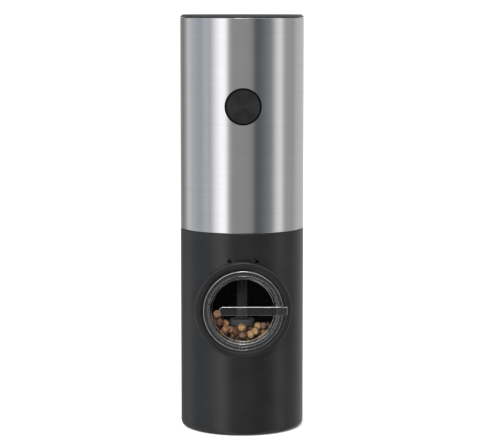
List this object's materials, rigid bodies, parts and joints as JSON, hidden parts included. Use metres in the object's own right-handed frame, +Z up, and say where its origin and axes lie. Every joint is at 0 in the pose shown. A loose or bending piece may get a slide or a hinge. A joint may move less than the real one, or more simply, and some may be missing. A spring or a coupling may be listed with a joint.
{
  "type": "battery pepper mill",
  "caption": "Upright cylindrical battery pepper mill with a steel upper sleeve, push button, black lower body and a round clear twist-off refill door.",
  "frame": {"origin": "centre of the foot, on the surface the mill stands on", "axes": "+Z up along the mill's axis, -Y out of the front through the refill door and the button, +X to the right seen from the front"},
  "size_m": [0.062, 0.064, 0.2085],
  "materials": {
    "satin_black": "satin",
    "dark_plastic": "matte",
    "brushed_steel": "brushed round the axis",
    "plain_steel": "plain",
    "brass": "plain",
    "clear_plastic": "clear",
    "rubber": "matte",
    "ceramic": "fired ceramic",
    "gear_plastic": "natural",
    "pepper": "dry and wrinkled",
    "cell_jacket": "shrink sleeve",
    "board": "solder mask",
    "red_lead": "matte",
    "black_lead": "matte"
  },
  "bodies": {
    "mill": {"button_guide": "dark_plastic", "button_spring": "plain_steel", "cell_1": "cell_jacket", "cell_2": "cell_jacket", "cell_3": "cell_jacket", "cell_4": "cell_jacket", "cell_holder": "dark_plastic", "chassis": "dark_plastic", "contact_bridge_low": "brass", "contact_minus": "brass", "contact_plus": "brass", "cover_screw_1": "plain_steel", "cover_screw_2": "plain_steel", "cover_screw_3": "plain_steel", "divider_plate": "dark_plastic", "gear_ring": "gear_plastic", "gearbox_cover": "dark_plastic", "grinder_housing": "dark_plastic", "housing_screw_1": "plain_steel", "housing_screw_2": "plain_steel", "housing_screw_3": "plain_steel", "lead_left": "black_lead", "lead_right": "red_lead", "lower_body": "satin_black", "motor_can": "plain_steel", "motor_cap": "dark_plastic", "motor_screw_1": "plain_steel", "motor_screw_2": "plain_steel", "motor_terminal_left": "brass", "motor_terminal_right": "brass", "peppercorns": "pepper", "shaft_guide": "dark_plastic", "shaft_seal": "rubber", "steel_sleeve": "brushed_steel", "switch": "dark_plastic", "switch_board": "board"},
    "button": {"button": "satin_black"},
    "door_seat": {"door_gasket": "rubber"},
    "door": {"refill_door": "clear_plastic"},
    "drive": {"drive_shaft": "plain_steel", "output_carrier": "gear_plastic", "stirring_hub": "dark_plastic", "inner_burr": "ceramic", "burr_nut": "brass"},
    "middle_stage": {"middle_carrier": "gear_plastic"},
    "motor_rotor": {"motor_pinion": "brass"},
    "adjuster": {"adjust_ring": "dark_plastic"},
    "ring_burr": {"outer_burr": "ceramic", "burr_carrier": "dark_plastic"},
    "cap": {"top_cap": "satin_black", "cap_gasket": "rubber", "contact_bridge_left": "brass", "contact_bridge_right": "brass"},
    "lower_planet_1": {"lower_planet_1": "gear_plastic"},
    "upper_planet_1": {"upper_planet_1": "gear_plastic"},
    "lower_planet_2": {"lower_planet_2": "gear_plastic"},
    "upper_planet_2": {"upper_planet_2": "gear_plastic"},
    "lower_planet_3": {"lower_planet_3": "gear_plastic"},
    "upper_planet_3": {"upper_planet_3": "gear_plastic"}
  },
  "joints": [
    {"name": "drive_spin", "type": "hinge", "parent": "mill", "child": "drive", "pos_m": [0, 0, 0.095], "axis": [0, 0, 1], "continuous": true},
    {"name": "middle_spin", "type": "hinge", "parent": "mill", "child": "middle_stage", "pos_m": [0, 0, 0.104], "axis": [0, 0, 1], "continuous": true},
    {"name": "motor_spin", "type": "hinge", "parent": "mill", "child": "motor_rotor", "pos_m": [0, 0, 0.112], "axis": [0, 0, 1], "continuous": true},
    {"name": "lower_planet_1_spin", "type": "hinge", "parent": "drive", "child": "lower_planet_1", "pos_m": [0.00825, 0, 0.1], "axis": [0, 0, 1], "continuous": true},
    {"name": "upper_planet_1_spin", "type": "hinge", "parent": "middle_stage", "child": "upper_planet_1", "pos_m": [0.00825, 0, 0.108], "axis": [0, 0, 1], "continuous": true},
    {"name": "lower_planet_2_spin", "type": "hinge", "parent": "drive", "child": "lower_planet_2", "pos_m": [-0.00413, 0.00714, 0.1], "axis": [0, 0, 1], "continuous": true},
    {"name": "upper_planet_2_spin", "type": "hinge", "parent": "middle_stage", "child": "upper_planet_2", "pos_m": [-0.00413, 0.00714, 0.108], "axis": [0, 0, 1], "continuous": true},
    {"name": "lower_planet_3_spin", "type": "hinge", "parent": "drive", "child": "lower_planet_3", "pos_m": [-0.00413, -0.00714, 0.1], "axis": [0, 0, 1], "continuous": true},
    {"name": "upper_planet_3_spin", "type": "hinge", "parent": "middle_stage", "child": "upper_planet_3", "pos_m": [-0.00413, -0.00714, 0.108], "axis": [0, 0, 1], "continuous": true},
    {"name": "button_press", "type": "slide", "parent": "mill", "child": "button", "axis": [0, 1, 0], "range_m": [0, 0.0015], "stiffness_N_per_m": 400, "deforming": ["button_spring"]},
    {"name": "door_pull", "type": "slide", "parent": "mill", "child": "door_seat", "axis": [0, -1, 0], "range_m": [0, 0.03]},
    {"name": "door_turn", "type": "hinge", "parent": "door_seat", "child": "door", "pos_m": [0, -0.0316, 0.0633], "axis": [0, -1, 0], "range_deg": [0, 50]},
    {"name": "grind_adjust", "type": "hinge", "parent": "mill", "child": "adjuster", "pos_m": [0, 0, 0.004], "axis": [0, 0, 1], "range_deg": [-120, 120]},
    {"name": "ring_burr_lift", "type": "slide", "parent": "mill", "child": "ring_burr", "axis": [0, 0, 1], "range_m": [-0.00025, 0.00025]},
    {"name": "cap_lift", "type": "slide", "parent": "mill", "child": "cap", "axis": [0, 0, 1], "range_m": [0, 0.03]}
  ],
  "couplings": [
    {"joint": "middle_spin", "follows": "drive_spin", "ratio": 4},
    {"joint": "motor_spin", "follows": "drive_spin", "ratio": 16},
    {"joint": "lower_planet_1_spin", "follows": "drive_spin", "ratio": -3},
    {"joint": "upper_planet_1_spin", "follows": "drive_spin", "ratio": -12},
    {"joint": "lower_planet_2_spin", "follows": "drive_spin", "ratio": -3},
    {"joint": "upper_planet_2_spin", "follows": "drive_spin", "ratio": -12},
    {"joint": "lower_planet_3_spin", "follows": "drive_spin", "ratio": -3},
    {"joint": "upper_planet_3_spin", "follows": "drive_spin", "ratio": -12},
    {"joint": "ring_burr_lift", "follows": "grind_adjust", "m_per_rad": 0.000115}
  ]
}
